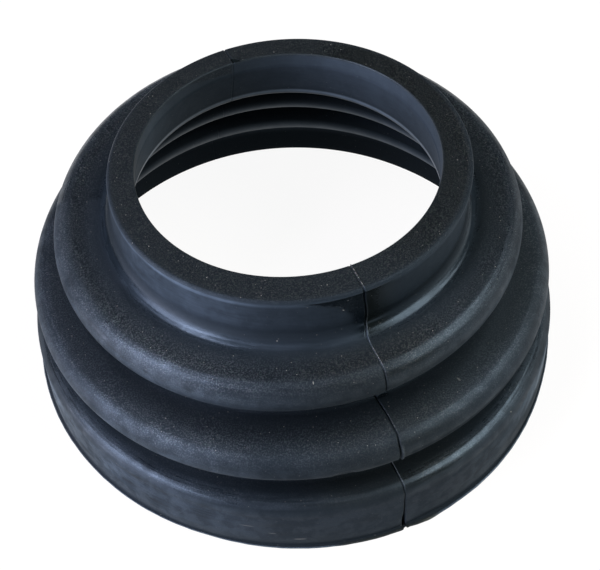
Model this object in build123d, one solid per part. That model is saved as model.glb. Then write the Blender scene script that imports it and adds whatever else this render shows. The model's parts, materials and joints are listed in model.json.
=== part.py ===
from build123d import *
import math
import os

# Rubber bellows boot: one moulded piece, a stepped cone of two full convolutions
# between a thick clamp collar at the small end and a skirt at the wide end.
# It stands on the skirt, with its axis on Z and the origin under its middle.
# All lengths are in millimetres and every radius is measured from that axis.

# ---- driving dimensions -------------------------------------------------
# heights, stacked from the foot upwards; the first three end in a flat shelf
skirt_height = 13.7
middle_rise = 13.2
upper_rise = 12.7
collar_height = 10.4

# small end: a thick collar with a flat end face and a sealing land in its bore
land_radius = 30.8
land_height = 3.5
collar_wall = 5.7           # at the end face
collar_edge_round = 0.5
collar_root_fillet = 2.6
relief_step = 1.8           # the bore opens out by this much below the land
relief_edge_round = 1.4
root_thickness = 2.7        # from the upper shelf down to the lower end of the bore

# wide end: the skirt, which slips over a round flange
skirt_bore_radius = 55.1
skirt_wall = 4.1            # at the foot
skirt_draft = 0.7           # the skirt is this much smaller at its shoulder
skirt_crest_roll = 2.5
skirt_ceiling_round = 1.6

# the two convolutions: where each rolled edge lies, its radius, and the depth
# of the groove under it
upper_crest_overhang = 12.4     # beyond the collar
upper_crest_roll = 3.4
upper_groove_depth = 5.8
middle_crest_setback = 2.4      # inside the skirt's shoulder
middle_crest_roll = 3.2
middle_groove_depth = 5.5
waist_roll = 1.9

# thickness of the bellows wall between collar and skirt
wall = 2.6

# thin fin of flash that the mould leaves around the foot
fin_reach = 0.8
fin_thickness = 0.5

# ---- sizes that follow --------------------------------------------------
lower_shelf_height = skirt_height
middle_shelf_height = lower_shelf_height + middle_rise
upper_shelf_height = middle_shelf_height + upper_rise
overall_height = upper_shelf_height + collar_height

collar_outer_radius = land_radius + collar_wall
relief_radius = land_radius + relief_step
upper_crest_radius = collar_outer_radius + upper_crest_overhang
upper_waist_radius = upper_crest_radius - upper_groove_depth
skirt_foot_radius = skirt_bore_radius + skirt_wall
skirt_crest_radius = skirt_foot_radius - skirt_draft
middle_crest_radius = skirt_crest_radius - middle_crest_setback
middle_waist_radius = middle_crest_radius - middle_groove_depth


def arc_between(centre, radius, turn, first, last):
    """Arc about centre from first to last, in the sense of turn."""
    begin = math.atan2(first[1] - centre[1], first[0] - centre[0])
    finish = math.atan2(last[1] - centre[1], last[0] - centre[0])
    sweep = (finish - begin) * turn % (2 * math.pi) * turn
    middle = begin + sweep / 2
    halfway = (centre[0] + radius * math.cos(middle), centre[1] + radius * math.sin(middle))
    return ThreePointArc(first, halfway, last)


def rolled_path(start, bends, end):
    """Straight lines from start to end, joined by tangent arcs.

    Each bend is (centre, radius, turn) in the plane of radius and height. A turn
    of +1 runs anticlockwise and -1 clockwise, and a radius of 0 is a sharp corner.
    """
    stops = [(start, 0.0, 1)] + bends + [(end, 0.0, 1)]
    pieces = []
    arrival = start
    for (a, radius_a, turn_a), (b, radius_b, turn_b) in zip(stops, stops[1:]):
        distance = math.dist(a, b)
        # the line that touches both circles leans away from the line of centres
        lean = math.asin((turn_a * radius_a - turn_b * radius_b) / distance)
        heading = math.atan2(b[1] - a[1], b[0] - a[0]) + lean
        right = (math.sin(heading), -math.cos(heading))
        leave = (a[0] + turn_a * radius_a * right[0], a[1] + turn_a * radius_a * right[1])
        touch = (b[0] + turn_b * radius_b * right[0], b[1] + turn_b * radius_b * right[1])
        if radius_a > 0:
            pieces.append(arc_between(a, radius_a, turn_a, arrival, leave))
        pieces.append(Line(leave, touch))
        arrival = touch
    return pieces


def rolled_edge(edge_radius, shelf_height, roll, inset):
    """Bend over the edge of a shelf, inset below the outer surface."""
    bend_radius = max(roll - inset, 0.0)
    back = inset + bend_radius
    return ((edge_radius - back, shelf_height - back), bend_radius, -1)


def groove(waist_radius, shelf_height, inset):
    """Bend at a waist, where the groove meets the shelf below it."""
    centre = (waist_radius + waist_roll, shelf_height + waist_roll)
    return (centre, waist_roll + inset, 1)


def bellows_bends(inset):
    """Bends of the two convolutions, from the upper shelf downwards."""
    return [rolled_edge(upper_crest_radius, upper_shelf_height, upper_crest_roll, inset),
            groove(upper_waist_radius, middle_shelf_height, inset),
            rolled_edge(middle_crest_radius, middle_shelf_height, middle_crest_roll, inset),
            groove(middle_waist_radius, lower_shelf_height, inset)]


def outer_path():
    """Outside of the boot, from the inner edge of the end face down to the fin."""
    root_centre = (collar_outer_radius + collar_root_fillet,
                   upper_shelf_height + collar_root_fillet)
    bends = [rolled_edge(collar_outer_radius, overall_height, collar_edge_round, 0.0),
             (root_centre, collar_root_fillet, 1),
             *bellows_bends(0.0),
             rolled_edge(skirt_crest_radius, lower_shelf_height, skirt_crest_roll, 0.0)]
    return rolled_path((land_radius, overall_height), bends, (skirt_foot_radius, fin_thickness))


def inner_path():
    """Inside of the boot, from the lower end of the land down to the skirt's foot."""
    edge_centre = (relief_radius + relief_edge_round,
                   upper_shelf_height - root_thickness + relief_edge_round)
    bends = [(edge_centre, relief_edge_round, 1),
             *bellows_bends(wall),
             rolled_edge(skirt_bore_radius, lower_shelf_height - wall, skirt_ceiling_round, 0.0)]
    return rolled_path((land_radius, overall_height - land_height), bends, (skirt_bore_radius, 0))


def boot_section():
    """Half section of the boot: outside, fin, foot, inside and land."""
    outer = outer_path()
    inner = inner_path()
    fin_end = skirt_foot_radius + fin_reach
    foot = Polyline(outer[-1] @ 1, (fin_end, fin_thickness), (fin_end, 0), inner[-1] @ 1)
    land = Line(outer[0] @ 0, inner[0] @ 0)
    return make_face([*outer, *foot.edges(), *inner, land])


boot = revolve(Plane.XZ * boot_section(), Axis.Z)
boot.label = "bellows_boot"
os.makedirs("parts", exist_ok=True)
export_step(boot, "parts/bellows_boot.step")
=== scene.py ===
# %% [markdown]
# # A rubber bellows boot
#
# The real thing is one rubber moulding: a thick collar at the small end, two
# rolled convolutions and a skirt. It came out of a mould in two halves, which
# left a parting line down the front and the back, and a fin of flash around the
# foot. Here it is one closed surface of revolution, worked out from the half
# section, and every irregularity of the real boot is added to that formula.
#
# The CAD model gives the frame. It is loaded first, and its box gives the boot's
# height and the radius of its foot.

# %% Load the frame
import json
import math

import bpy
import numpy as np
from mathutils import Matrix, Vector


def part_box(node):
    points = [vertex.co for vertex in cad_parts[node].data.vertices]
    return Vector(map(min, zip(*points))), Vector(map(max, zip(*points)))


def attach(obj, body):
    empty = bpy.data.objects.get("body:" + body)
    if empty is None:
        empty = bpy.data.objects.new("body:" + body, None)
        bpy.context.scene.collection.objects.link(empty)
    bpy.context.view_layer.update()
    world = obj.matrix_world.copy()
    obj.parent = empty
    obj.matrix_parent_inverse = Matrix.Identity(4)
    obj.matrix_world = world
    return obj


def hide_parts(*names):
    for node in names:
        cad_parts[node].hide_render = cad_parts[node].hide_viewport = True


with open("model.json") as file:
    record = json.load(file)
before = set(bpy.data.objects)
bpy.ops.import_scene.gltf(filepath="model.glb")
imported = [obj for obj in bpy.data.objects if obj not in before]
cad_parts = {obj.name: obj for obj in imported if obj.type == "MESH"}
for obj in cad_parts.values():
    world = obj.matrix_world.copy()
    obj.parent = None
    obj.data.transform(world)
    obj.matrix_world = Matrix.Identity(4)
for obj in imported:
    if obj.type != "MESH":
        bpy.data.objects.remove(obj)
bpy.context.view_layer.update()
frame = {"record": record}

MM = 0.001
mounts = {mount["name"]: mount for mount in frame["record"]["mounts"]}
foot_corner, top_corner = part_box("bellows_boot")
overall_height = top_corner.z
foot_radius = (top_corner.x - foot_corner.x) / 2
print("height", overall_height, "foot radius", foot_radius)

# %% [markdown]
# ## The camera
#
# A product picture of a low round part is taken from above and in front, so that
# the end face, the bore and the steps of the bellows all show. The camera is
# placed by its position, its pitch below the horizon, a slight yaw and a slight
# roll, and these make the columns of its rotation matrix.

# %% Camera
picture_width = 600
picture_height = 570
focal_pixels = 950.0
sensor_width = 36.0
view_centre = (300.4, 286.1)
camera_place = Vector((0.0, -0.13505, 0.18443))
camera_pitch = 0.9155
camera_yaw = 0.0100
camera_roll = -0.0117


def camera_turn(pitch, yaw, roll):
    """Rotation whose columns are the camera's right, up and backward directions.

    Forward is (sin yaw cos pitch, cos yaw cos pitch, -sin pitch), right is level,
    and roll turns right and up about forward.
    """
    forward = Vector((math.sin(yaw) * math.cos(pitch),
                      math.cos(yaw) * math.cos(pitch),
                      -math.sin(pitch)))
    right = Vector((math.cos(yaw), -math.sin(yaw), 0.0))
    up = right.cross(forward)
    rolled_right = math.cos(roll) * right + math.sin(roll) * up
    rolled_up = math.cos(roll) * up - math.sin(roll) * right
    return Matrix((rolled_right, rolled_up, -forward)).transposed()


camera_data = bpy.data.cameras.new("camera")
camera_data.lens = focal_pixels / picture_width * sensor_width
camera_data.sensor_width = sensor_width
camera_data.sensor_fit = "HORIZONTAL"
camera_data.shift_x = (picture_width / 2 - view_centre[0]) / picture_width
camera_data.shift_y = (view_centre[1] - picture_height / 2) / picture_width
camera_data.clip_start = 0.01
camera = bpy.data.objects.new("camera", camera_data)
turn = camera_turn(camera_pitch, camera_yaw, camera_roll)
camera.matrix_world = Matrix.Translation(camera_place) @ turn.to_4x4()
bpy.context.scene.collection.objects.link(camera)
bpy.context.scene.camera = camera
print("lens", round(camera_data.lens, 2), "mm")

# %% [markdown]
# ## Half section
#
# A boot like this is drawn as a half section, the outline of its rubber on one side
# of the axis. The bores and the collar come from the CAD model's mounts. The other
# sizes are those of the drawing: the heights of the three shelves, the radii of
# crests, waists and rolls, and one wall thickness for all of them.

# %% Sizes of the section
land_radius = mounts["collar_bore"]["dims"]["r_mm"] * MM
land_height = mounts["collar_bore"]["dims"]["length_mm"] * MM
skirt_bore_radius = mounts["skirt_bore"]["dims"]["r_mm"] * MM
collar_outer_radius = mounts["collar_outside"]["dims"]["r_mm"] * MM

lower_shelf = 13.7 * MM
middle_shelf = 26.9 * MM
upper_shelf = 39.6 * MM
wall = 2.6 * MM

collar_edge_round = 0.7 * MM
collar_root_fillet = 2.6 * MM
bore_edge_round = 0.2 * MM
relief_radius = 32.6 * MM
relief_edge_round = 1.4 * MM
relief_edge_height = 36.9 * MM
land_corner_round = 0.4 * MM

upper_crest_radius = 48.9 * MM
upper_crest_roll = 3.4 * MM
upper_waist_radius = 43.1 * MM
middle_crest_radius = 56.1 * MM
middle_crest_roll = 3.2 * MM
middle_waist_radius = 50.6 * MM
waist_roll = 1.9 * MM

skirt_crest_radius = 58.5 * MM
skirt_crest_roll = 2.5 * MM
skirt_foot_radius = 59.2 * MM
skirt_ceiling_round = 1.6 * MM
foot_edge_round = 0.3 * MM
fin_thickness = 0.5 * MM
fin_root_round = 0.25 * MM
print("bore radius", land_radius, "m, outside radius of the collar", collar_outer_radius, "m")

# %% [markdown]
# The section is a closed outline of straight lines and tangent arcs. Each bend is
# a circle with a sense of turn, and the line between two bends touches both
# circles. That is how the moulding was drawn, and it means that every line runs
# into its arcs with no kink. The outline goes round clockwise: out over the end
# face, down the outside, in under the foot and up the inside.

# %% Bends of the outline
def section_bends():
    """The bends of the closed outline, in order. Each row has a circle's radius
    from the axis, its height, its own radius, its sense of turn, and how many
    points its arc and the line after it get."""
    outside, inside = -1, 1
    edge, fillet = collar_edge_round, collar_root_fillet
    fin_tip = fin_thickness / 2
    ceiling = lower_shelf - wall
    upper = (upper_crest_radius - upper_crest_roll, upper_shelf - upper_crest_roll)
    upper_waist = (upper_waist_radius + waist_roll, middle_shelf + waist_roll)
    middle = (middle_crest_radius - middle_crest_roll, middle_shelf - middle_crest_roll)
    middle_waist = (middle_waist_radius + waist_roll, lower_shelf + waist_roll)
    inner_waist_roll = waist_roll + wall
    return [
        (land_radius + bore_edge_round, overall_height - bore_edge_round, bore_edge_round,
         outside, 4, 8),
        (collar_outer_radius - edge, overall_height - edge, edge, outside, 8, 9),
        (collar_outer_radius + fillet, upper_shelf + fillet, fillet, inside, 14, 8),
        (*upper, upper_crest_roll, outside, 24, 5),
        (*upper_waist, waist_roll, inside, 12, 8),
        (*middle, middle_crest_roll, outside, 24, 5),
        (*middle_waist, waist_roll, inside, 12, 4),
        (skirt_crest_radius - skirt_crest_roll, lower_shelf - skirt_crest_roll, skirt_crest_roll,
         outside, 14, 10),
        (skirt_foot_radius + fin_root_round, fin_thickness + fin_root_round, fin_root_round,
         inside, 4, 2),
        (foot_radius - fin_tip, fin_tip, fin_tip, outside, 6, 4),
        (skirt_bore_radius + foot_edge_round, foot_edge_round, foot_edge_round,
         outside, 4, 5),
        (skirt_bore_radius - skirt_ceiling_round, ceiling - skirt_ceiling_round, skirt_ceiling_round,
         inside, 6, 2),
        (*middle_waist, inner_waist_roll, outside, 12, 3),
        (*middle, middle_crest_roll - wall, inside, 7, 4),
        (*upper_waist, inner_waist_roll, outside, 12, 3),
        (*upper, upper_crest_roll - wall, inside, 7, 5),
        (relief_radius + relief_edge_round, relief_edge_height + relief_edge_round, relief_edge_round,
         outside, 6, 7),
        (land_radius + land_corner_round, overall_height - land_height, land_corner_round,
         outside, 2, 4),
    ]


print("bends", len(section_bends()))

# %% [markdown]
# An arc begins where the line before it touches its circle, and ends where the next
# line leaves it. Both follow from the two circles alone, so no point of the outline
# is written down: change a radius and the neighbours move with it.

# %% Arcs and lines
def tangent_outline(bends):
    """Points of the closed outline, one row (radius, height) each.

    The line from circle a to circle b leans away from the line of centres by
    asin((turn a * radius a - turn b * radius b) / distance).
    """
    circles = np.array([bend[:4] for bend in bends], float)
    following = np.roll(circles, -1, axis=0)
    across = following[:, :2] - circles[:, :2]
    distance = np.hypot(across[:, 0], across[:, 1])
    turned = circles[:, 3] * circles[:, 2]
    turned_next = following[:, 3] * following[:, 2]
    heading = np.arctan2(across[:, 1], across[:, 0]) + np.arcsin((turned - turned_next) / distance)
    right = np.stack([np.sin(heading), -np.cos(heading)], axis=1)
    leave = circles[:, :2] + turned[:, None] * right
    touch = following[:, :2] + turned_next[:, None] * right
    arrive = np.roll(touch, 1, axis=0)
    stretches = []
    for k, (r, z, radius, sense, arc_points, line_points) in enumerate(bends):
        begin = math.atan2(arrive[k, 1] - z, arrive[k, 0] - r)
        end = math.atan2(leave[k, 1] - z, leave[k, 0] - r)
        sweep = (end - begin) * sense % (2 * math.pi) * sense
        angle = begin + sweep * np.linspace(0, 1, arc_points + 1)
        stretches.append(np.stack([r + radius * np.cos(angle), z + radius * np.sin(angle)], axis=1))
        share = np.linspace(0, 1, line_points + 1)[1:-1, None]
        stretches.append(leave[k] + share * (touch[k] - leave[k]))
    return np.concatenate(stretches)


sketch = tangent_outline(section_bends())
print("points on arcs and lines", len(sketch))

# %% [markdown]
# A place on the surface is named by its length along the outline, from the bore's
# edge outwards, because finish and damage are easiest to measure that way. Where
# they change within a millimetre, the outline gets extra points.

# %% Lengths along the outline
def lengths_of(points):
    """Length along the closed outline at each point, and at the end, in millimetres."""
    steps = np.roll(points, -1, axis=0) - points
    return np.concatenate([[0.0], np.cumsum(np.hypot(steps[:, 0], steps[:, 1]))]) / MM


def with_extra_points(points, extra, closest=0.08):
    """The outline with more points on it, at the given lengths in millimetres. Those
    that would lie closer than that to a point of the outline are left out."""
    lengths = lengths_of(points)
    closed = np.vstack([points, points[:1]])
    far_enough = np.abs(extra[:, None] - lengths[None, :]).min(axis=1) > closest
    wanted = np.sort(np.concatenate([lengths[:-1], extra[far_enough]]))
    return np.stack([np.interp(wanted, lengths, closed[:, k]) for k in (0, 1)], axis=1)


# first and last length and spacing of the extra points, in millimetres
finer_runs = [(0.45, 2.5, 0.25), (6.35, 7.3, 0.2), (41.6, 42.6, 0.25), (84.9, 85.6, 0.25),
              (162.3, 163.2, 0.22), (171.1, 174.0, 0.35)]
outline = with_extra_points(sketch, np.concatenate([np.arange(*run) for run in finer_runs]))
along = lengths_of(outline)[:-1]
print("outline points", len(outline), "length", lengths_of(outline)[-1].round(1), "mm")

# %% [markdown]
# ## The parting lines
#
# The mould opened in two halves. They met in front and behind, and rubber crept
# into the joint. Each parting line is a fine ridge with a groove on its left. It
# wanders by a degree or so, because the halves never close quite alike. So a
# table gives the wander and the two heights at a few places along the outline.

# %% Parting lines
front_parting = math.radians(-68.5)
rear_parting = math.radians(112.5)

# millimetres along the outline, wander in degrees, ridge and groove in
# millimetres, and how pale the ridge's top is painted, a painted highlight
front_line = np.array([
    (0.0, -0.55, 0.20, 0.10, 0.7), (5.2, -0.55, 0.20, 0.12, 0.7), (6.2, -0.40, 0.08, 0.40, 0.1),
    (8.0, -0.10, 0.10, 0.50, 0.15), (9.8, 0.50, 0.12, 0.50, 0.15), (13.0, 1.05, 0.12, 0.48, 0.2),
    (15.5, 0.70, 0.14, 0.20, 0.5), (17.0, 0.00, 0.18, 0.10, 0.9), (18.6, -0.25, 0.18, 0.10, 0.9),
    (24.0, -0.15, 0.16, 0.08, 0.9), (26.0, -0.10, 0.02, 0.30, 0.0), (31.0, -0.10, 0.03, 0.45, 0.0),
    (41.0, -0.30, 0.00, 0.45, 0.0), (45.5, 0.15, 0.05, 0.42, 0.2), (50.0, 0.10, 0.07, 0.35, 0.3),
    (52.0, -0.30, 0.03, 0.55, 0.1), (56.6, -0.50, 0.03, 0.60, 0.0), (66.7, -0.10, 0.14, 0.40, 0.7),
    (71.4, -0.05, 0.10, 0.20, 0.6), (75.0, -0.10, 0.00, 0.32, 0.0), (77.6, -0.20, 0.00, 0.45, 0.0),
    (83.0, -0.20, 0.01, 0.60, 0.2), (85.8, -0.20, 0.12, 0.80, 0.4), (91.6, -0.20, 0.04, 0.05, 0.0),
    (170.0, -0.30, 0.06, 0.04, 0.0), (174.0, -0.55, 0.10, 0.10, 0.2)])
rear_line = np.array([
    (0.0, -0.40, 0.05, 0.24, 0.2), (5.2, 0.10, 0.06, 0.24, 0.2), (8.0, 0.30, 0.20, 0.20, 0.2),
    (14.0, -0.30, 0.22, 0.20, 0.3), (18.0, 0.00, 0.26, 0.16, 0.6), (24.0, 0.20, 0.22, 0.12, 0.6),
    (31.0, 0.10, 0.10, 0.35, 0.1), (42.0, -0.20, 0.16, 0.24, 0.3), (50.0, 0.00, 0.22, 0.20, 0.4),
    (56.0, 0.30, 0.10, 0.40, 0.1), (67.0, 0.20, 0.20, 0.28, 0.5), (75.0, 0.00, 0.16, 0.20, 0.4),
    (86.0, -0.20, 0.16, 0.40, 0.4), (92.0, 0.00, 0.05, 0.05, 0.0), (174.0, -0.40, 0.05, 0.10, 0.0)])


def read_off(table, at, column):
    """A column of a table at any place, by straight lines between its rows."""
    return np.interp(at, table[:, 0], table[:, column])


def wander(line):
    """The parting line's turn away from its straight course, per outline point."""
    return np.radians(read_off(line, along, 1))


print("the front line wanders over", np.ptp(np.degrees(wander(front_line))).round(2), "degrees")

# %% [markdown]
# Across a parting line, the ridge is one bell curve and the groove another, side by
# side. Their heights come from the table, so each dies out and comes back along
# the line. The ridge's top is painted pale by the same curve, a painted highlight.

# %% Ridge and groove
ridge_offset, ridge_width = 0.12 * MM, 0.085 * MM
groove_offset, groove_width = -0.13 * MM, 0.16 * MM


def bell(value, centre, half_width, power=2):
    """1 at the centre, dying away as exp(-(distance in half widths)^power)."""
    return np.exp(-(np.abs(value - centre) / half_width) ** power)


def parting_relief(away, line):
    """Height of ridge less depth of groove, two bell curves across the line."""
    ridge, groove = (read_off(line, along, column)[:, None] * MM for column in (2, 3))
    return ridge * bell(away, ridge_offset, ridge_width) - groove * bell(away, groove_offset, groove_width)


def ridge_highlight(away, line):
    """How pale the ridge's top is painted, a painted highlight: the table's value times a bell curve across
    it.
    """
    return read_off(line, along, 4)[:, None] * bell(away, ridge_offset, ridge_width)


print("highest ridge", front_line[:, 2].max(), "mm, deepest groove", front_line[:, 3].max(), "mm")

# %% [markdown]
# ## The boot's surface
#
# The surface is the outline carried round the axis, so a point has two
# parameters: its place on the outline and its angle. The columns stand closer
# together at the parting lines and at the torn places, where detail is finest.

# %% Angles of the columns
def turn_between(angle, centre):
    """Signed turn from centre to angle, from minus a half turn to a half turn."""
    return (angle - centre + math.pi) % (2 * math.pi) - math.pi


def column_angles(coarse_count, patches, margin=1.08):
    """Angles round the axis: an even ring, with a denser patch at each centre. A
    patch has a centre, a half width, a count and a power that draws its columns
    towards its middle. The even columns keep a margin away from it."""
    even = np.linspace(-math.pi, math.pi, coarse_count, endpoint=False)
    dense = []
    for centre, half_width, count, power in patches:
        even = even[np.abs(turn_between(even, centre)) > half_width * margin]
        share = np.linspace(-1, 1, count)
        dense.append(centre + half_width * np.sign(share) * np.abs(share) ** power)
    together = np.concatenate([even, *dense])
    return np.sort(turn_between(together, 0.0))


torn_crest, torn_foot = -80.3, -61.0  # degrees
angles = column_angles(216, [
    (front_parting, math.radians(1.6), 29, 1.5),
    (rear_parting, math.radians(1.6), 29, 1.5),
    (math.radians(torn_crest), math.radians(2.6), 21, 1.0),
    (math.radians(torn_foot), math.radians(5.0), 21, 1.0),
])
print("columns", len(angles))

# %% [markdown]
# The columns near a parting line run along it, so that its ridge has no steps. They
# follow its wander fully up to 2 degrees away, and less and less up to 9. Soft edges
# like this one come again and again below. Used on whole arrays they make masks: 1
# where something is there, 0 where it isn't, and soft between.

# %% Columns along the parting lines
def share_of_way(value, begin, end):
    """How far value has come from begin to end, held between 0 and 1."""
    return np.clip((value - begin) / (end - begin), 0, 1)


def soft_step(value, begin, end):
    """Rises from 0 at begin to 1 at end, with level ends: 3 t^2 - 2 t^3."""
    t = share_of_way(value, begin, end)
    return t * t * (3 - 2 * t)


def line_course(parting, line):
    """The line's wander, given to the columns near it and fading out further away."""
    away = np.abs(turn_between(angles, parting))
    return wander(line)[:, None] * (1 - soft_step(away, math.radians(2), math.radians(9)))


azimuth = angles[None, :] + line_course(front_parting, front_line) + line_course(rear_parting, rear_line)
print("rows and columns", azimuth.shape, "triangles", 2 * azimuth.size)

# %% [markdown]
# The boot is soft, and it leans. The collar has slid a little to the left and
# back, its right side stands higher than its left, and its rim has sprung into a
# faint saddle shape. The table gives that shift, tilt and saddle at four levels.

# %% How the boot leans
# share of the height, shift to the right and back in millimetres, rise to the right
# and to the back per length, and saddle along the axes and between them in
# millimetres
lean_levels = np.array([
    (0.0, 0.0, 0.0, 0.0, 0.0, 0.0, 0.0),
    (0.45, -0.66, -0.02, 0.0179, 0.0103, -0.26, -0.29),
    (0.75, -1.39, 0.74, 0.0347, 0.0200, -0.11, -0.32),
    (1.0, -0.60, 1.01, 0.0328, 0.0053, -0.08, -0.06)])
bore_offset = np.array((-0.27, 0.43)) * MM


def lean(points):
    """Shift, tilt and saddle each level. x and y move by the shift at that height. z
    rises by the tilt times the distance from the axis, and by the saddle times the
    cosine and sine of twice the angle."""
    x, y, z = points[..., 0], points[..., 1], points[..., 2]
    to_right, to_back, right_up, back_up, saddle_axes, saddle_between = (
        read_off(lean_levels, z / overall_height, column) for column in range(1, 7))
    squared = x * x + y * y
    saddle = saddle_axes * (x * x - y * y) / squared + saddle_between * 2 * x * y / squared
    raised = z + x * right_up + y * back_up + saddle * MM
    return np.stack([x + to_right * MM, y + to_back * MM, raised], axis=-1)


def bore_shift(radius, height):
    """Share of the bore's offset that a point takes: all of it in the bore, none at
    the collar's outer wall, and less and less below the land."""
    inward = share_of_way(radius, collar_outer_radius, land_radius)
    upward = share_of_way(height, relief_edge_height, overall_height - land_height)
    return inward * upward


print("the collar's top has slid", np.hypot(*lean_levels[-1, 1:3]).round(2), "mm")

# %% [markdown]
# Nothing on a soft part is quite round. The fin of flash round the foot was trimmed
# close in some places, and right of the parting line it is torn and hangs out. The
# skirt flares more in front than behind, the collar's rim is a little wider behind,
# and the collar's root stands further out on the right of the front. Each of these
# is a growth in radius that depends on the angle and on the place on the outline.

# %% Growth of the foot, the rim and the root
# angle in degrees and growth in millimetres
fin_growth = np.array([
    (-180, 0.0), (-150, 0.0), (-125, -0.15), (-108, -0.35), (-95, -0.10), (-74, 0.05), (-69.5, 0.10),
    (-68.0, 0.0), (-66.5, 0.25), (-64.0, 0.48), (-61.0, 0.30), (-57.0, 0.10), (-50.0, 0.05),
    (-36.0, -0.12), (-22.0, -0.35), (-5.0, -0.10), (60.0, 0.05), (120.0, -0.05), (180.0, 0.0)])
skirt_flare = np.array([
    (-180, 0.05), (-150, 0.20), (-125, 0.28), (-108, 0.25), (-95, 0.27), (-81, 0.42), (-74, 0.52),
    (-64, 0.42), (-53, 0.52), (-46, 0.48), (-38, 0.38), (-22, 0.25), (0, 0.20), (30, 0.0),
    (60, -0.30), (84, -0.40), (120, -0.35), (150, -0.20), (180, 0.05)])
fin_ripple = 0.015 * MM
fin_zone_height = 1.5 * MM
rim_spread = 0.48 * MM
rim_direction = math.radians(80)
root_spread = 0.70 * MM


def band(value, rise_begin, rise_end, fall_begin, fall_end):
    """Rises softly, stays at 1 and falls softly: one step times 1 less another."""
    return soft_step(value, rise_begin, rise_end) * (1 - soft_step(value, fall_begin, fall_end))


def fin_reach(radius, height, angle):
    """How far the fin's points move out: its growth at that angle and a fine ripple,
    times their share of the way from the skirt to the fin's tip."""
    share = share_of_way(radius, skirt_foot_radius, foot_radius)
    ripple = fin_ripple * (np.sin(angle * 61) + np.sin(angle * 97 + 1.3))
    return share * (read_off(fin_growth, np.degrees(angle), 1) * MM + ripple) * (height < fin_zone_height)


def skirt_reach(height, angle):
    """How far the skirt flares: its flare at that angle, times the share of the way
    down from the lower shelf."""
    return share_of_way(height, lower_shelf, 0) * read_off(skirt_flare, np.degrees(angle), 1) * MM


def rim_reach(radius, angle):
    """The collar is a little wider behind: its spread times cos^6 of half the angle
    from the back, and times the share of the way out from the bore."""
    behind = np.cos((angle - rim_direction) / 2) ** 6
    upper = (1 - soft_step(along, 10, 18))[:, None]
    return rim_spread * behind * share_of_way(radius, land_radius, collar_outer_radius) * upper


def root_reach(angle):
    """The collar's root moves out on the right of the front, from its wall to the
    middle of the shelf below."""
    down_wall = band(along, 6.5, 13.5, 18, 24)[:, None]
    return root_spread * down_wall * band(np.degrees(angle), -100, -68, -34, -6)


print("the fin grows by up to", fin_growth[:, 1].max(), "mm and shrinks by up to", -fin_growth[:, 1].min())

# %% [markdown]
# Now the outline can be carried round. At each angle it gets its own radius, with
# the four growths, then the bore's offset and the lean. The normals, along which
# the damage will push, come from the grid itself.

# %% The smooth surface
def carried_outline(angle):
    """Grid of points (outline place, angle): radius along the angle, height up, then
    the four growths, the bore's offset and the lean."""
    radius = outline[:, 0][:, None]
    height = outline[:, 1][:, None] + np.zeros_like(angle)
    out = (radius + fin_reach(radius, height, angle) + skirt_reach(height, angle)
           + rim_reach(radius, angle) + root_reach(angle))
    points = np.stack([out * np.cos(angle), out * np.sin(angle), height], axis=-1)
    points[..., :2] += bore_shift(radius, height)[..., None] * bore_offset
    return lean(points)


def grid_normals(points):
    """Unit outward normals of a closed grid: the cross product of its directions."""
    down = np.roll(points, -1, axis=0) - np.roll(points, 1, axis=0)
    across = np.roll(points, -1, axis=1) - np.roll(points, 1, axis=1)
    normal = np.cross(down, across)
    return normal / np.linalg.norm(normal, axis=-1, keepdims=True)


smooth_points = carried_outline(azimuth)
smooth_normals = grid_normals(smooth_points)
print("widest radius", np.hypot(smooth_points[..., 0], smooth_points[..., 1]).max().round(4), "m")

# %% [markdown]
# ## Damage
#
# Rubber tears where it is pulled off the mould, and its flash breaks off in flakes.
# Each fault is a dip along the surface's own normal, a bell curve in degrees times
# one in millimetres. The torn edge of the middle convolution, the nick in the upper
# crest and the notch in the foot are hollows. The gap under the upper crest and the
# notch in the bore's edge behind are slits, seen only as dark lines. So they are
# nearly flat here, and their darkness is painted shade in the finish. Two grids,
# degrees and place, hold every point's angle and its length along the outline.

# %% Dips in the surface
degrees = np.degrees(azimuth)
place = along[:, None] + np.zeros_like(azimuth)


def dip(centre_degrees, centre_along, half_degrees, half_along, power=2):
    """A bell curve round the boot times one along the outline, 1 at its centre."""
    return bell(degrees, centre_degrees, half_degrees, power) * bell(place, centre_along, half_along, power)


ragged = 1 + 0.35 * np.sin(degrees * 9) + 0.2 * np.sin(degrees * 23 + 2)
crest_tear = 0.55 * ragged * dip(torn_crest, 55.9, 1.9, 0.9, 4)
crest_nick = 0.15 * dip(-52.2, 27.6, 0.35, 0.9)
foot_notch = 0.9 * dip(-69.0, 84.9, 0.30, 2.4)

notch_end = 0.35 + 1.5 * share_of_way(degrees, 108.8, 112.2)
bore_notch = (band(place, 0.05, 0.3, notch_end - 0.1, notch_end + 0.2)
              * band(degrees, 108.2, 109.0, 112.2, 112.5))
notch_line = bell(place, 0.2, 0.075) * band(degrees, 98, 106, 108.8, 109.6)
crest_gap = dip(-67.1, 41.48, 1.5, 0.42, 6)
slit_depth = 0.05
dips = crest_tear + crest_nick + foot_notch + slit_depth * (crest_gap + bore_notch + notch_line)
print("deepest dip", dips.max().round(2), "mm")

# %% [markdown]
# The parting lines add their ridges and grooves. Beside the front one, a flap of
# flash hangs off the middle crest, and a crease runs round the foot where the fin
# leaves the skirt. The sum of all these heights moves each point along its normal,
# and nothing goes below the floor.

# %% Parting lines, flap and crease
def distance_from(parting, line):
    """How far each point is from a parting line, in metres round the boot."""
    return outline[:, 0][:, None] * turn_between(azimuth, parting + wander(line)[:, None])


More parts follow.
